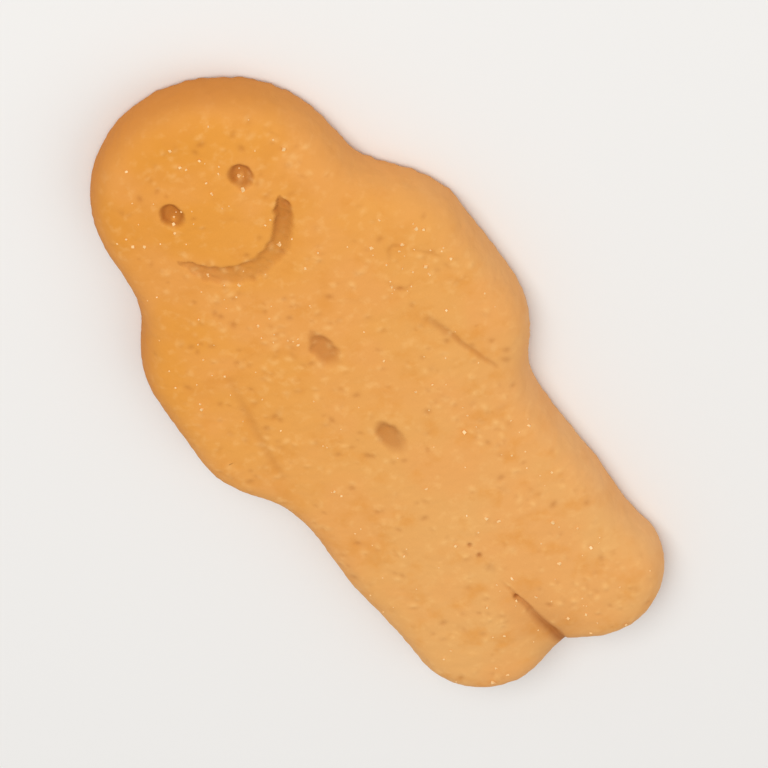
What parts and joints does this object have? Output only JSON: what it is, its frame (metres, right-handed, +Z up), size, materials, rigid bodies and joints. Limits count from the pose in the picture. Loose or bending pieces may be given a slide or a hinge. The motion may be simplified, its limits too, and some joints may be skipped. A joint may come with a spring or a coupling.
{
  "type": "gingerbread man cookie",
  "caption": "Small plain baked biscuit in the shape of a person, with a round head, arms held to the sides, legs together, pressed eyes, smile and buttons, and a flat underside.",
  "frame": {"origin": "middle of the box, at the flat underside that the biscuit rests on", "axes": "+Z up out of the face, +Y from the feet to the head, +X to the right as the face is looked at with its head up"},
  "size_m": [0.0392, 0.0808, 0.0072],
  "materials": {
    "gingerbread": "matt baked dough, golden tan, with fine pores and specks"
  },
  "bodies": {
    "root": {"gingerbread_man": "gingerbread"}
  },
  "joints": []
}
